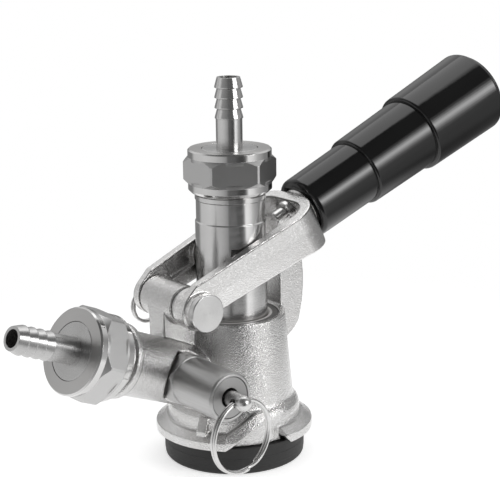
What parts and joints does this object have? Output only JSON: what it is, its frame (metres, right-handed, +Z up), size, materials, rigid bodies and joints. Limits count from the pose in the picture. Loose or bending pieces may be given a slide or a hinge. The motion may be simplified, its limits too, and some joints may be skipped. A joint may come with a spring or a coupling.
{
  "type": "keg coupler",
  "caption": "Keg tap coupler: cast bell with bayonet lugs and seal, sliding probe worked by a forked lever with a black stepped grip, angled gas inlet, hose barbs and pull-ring relief valve.",
  "frame": {"origin": "centre of the seal's underside, on the probe axis", "axes": "+Z up the probe, +X towards the handle, -Y towards the relief valve"},
  "size_m": [0.2074, 0.0706, 0.1279],
  "materials": {
    "cast_nickel": "nickel-plated casting with a fine blasted grain",
    "steel": "turned stainless steel, bright to satin",
    "relief_cap_metal": "turned steel cap, left bare",
    "wire_steel": "drawn spring wire",
    "black_rubber": "moulded black rubber",
    "grip_plastic": "glossy black moulded plastic",
    "bush_plastic": "white low-friction plastic"
  },
  "bodies": {
    "body": {"body_casting": "cast_nickel", "body_seal": "black_rubber", "probe_ring_lower": "black_rubber", "probe_ring_upper": "black_rubber", "probe_guide_bush": "bush_plastic", "hinge_pin": "steel", "hinge_washer": "steel", "gas_check_valve": "black_rubber", "gas_washer": "black_rubber", "gas_tailpiece": "steel", "gas_hex_nut": "steel", "relief_body": "steel", "relief_cap": "relief_cap_metal", "relief_gasket": "black_rubber", "relief_spring": "wire_steel"},
    "lever": {"lever_yoke": "cast_nickel", "plunger_bush": "steel", "handle_rod": "steel", "plunger_spring": "wire_steel"},
    "grip": {"grip_sleeve": "grip_plastic", "grip_end_cap": "grip_plastic", "plunger": "steel", "link_pin": "steel"},
    "probe": {"probe_tube": "steel", "probe_tip_seal": "black_rubber", "ball_seat": "steel", "ball_stop_pin": "steel", "beer_hex_nut": "steel", "beer_tailpiece": "steel", "beer_washer": "black_rubber"},
    "ball": {"check_ball": "steel"},
    "relief_plunger": {"relief_stem": "steel", "relief_seal": "black_rubber"},
    "pull_ring": {"relief_pull_ring": "wire_steel"},
    "pin_ring": {"hinge_pin_ring": "wire_steel"}
  },
  "joints": [
    {"name": "lever_pivot", "type": "hinge", "parent": "body", "child": "lever", "pos_m": [-0.0233, 0, 0.0569], "axis": [0, 1, 0], "range_deg": [0, 25]},
    {"name": "probe_slide", "type": "slide", "parent": "body", "child": "probe", "axis": [0, 0, -1], "range_m": [0, 0.01083]},
    {"name": "grip_pull", "type": "slide", "parent": "lever", "child": "grip", "axis": [0.9272, 0, 0.3746], "range_m": [0, 0.0042], "stiffness_N_per_m": 800, "springref_m": -0.008, "deforming": ["plunger_spring"]},
    {"name": "relief_pull", "type": "slide", "parent": "body", "child": "relief_plunger", "axis": [0, -1, 0], "range_m": [0, 0.0025], "stiffness_N_per_m": 1500, "springref_m": -0.004, "deforming": ["relief_spring"]},
    {"name": "pull_ring_swing", "type": "hinge", "parent": "relief_plunger", "child": "pull_ring", "pos_m": [-0.0275, -0.0394, 0.03451], "axis": [-0.9945, -0.1045, 0], "range_deg": [-20, 80]},
    {"name": "pin_ring_swing", "type": "hinge", "parent": "body", "child": "pin_ring", "pos_m": [-0.0233, 0.01645, 0.0569], "axis": [1, 0, 0], "range_deg": [-2, 70]},
    {"name": "ball_lift", "type": "slide", "parent": "probe", "child": "ball", "axis": [0, 0, 1], "range_m": [0, 0.003]}
  ],
  "couplings": [
    {"joint": "probe_slide", "follows": "lever_pivot", "m_per_rad": 0.02482}
  ]
}
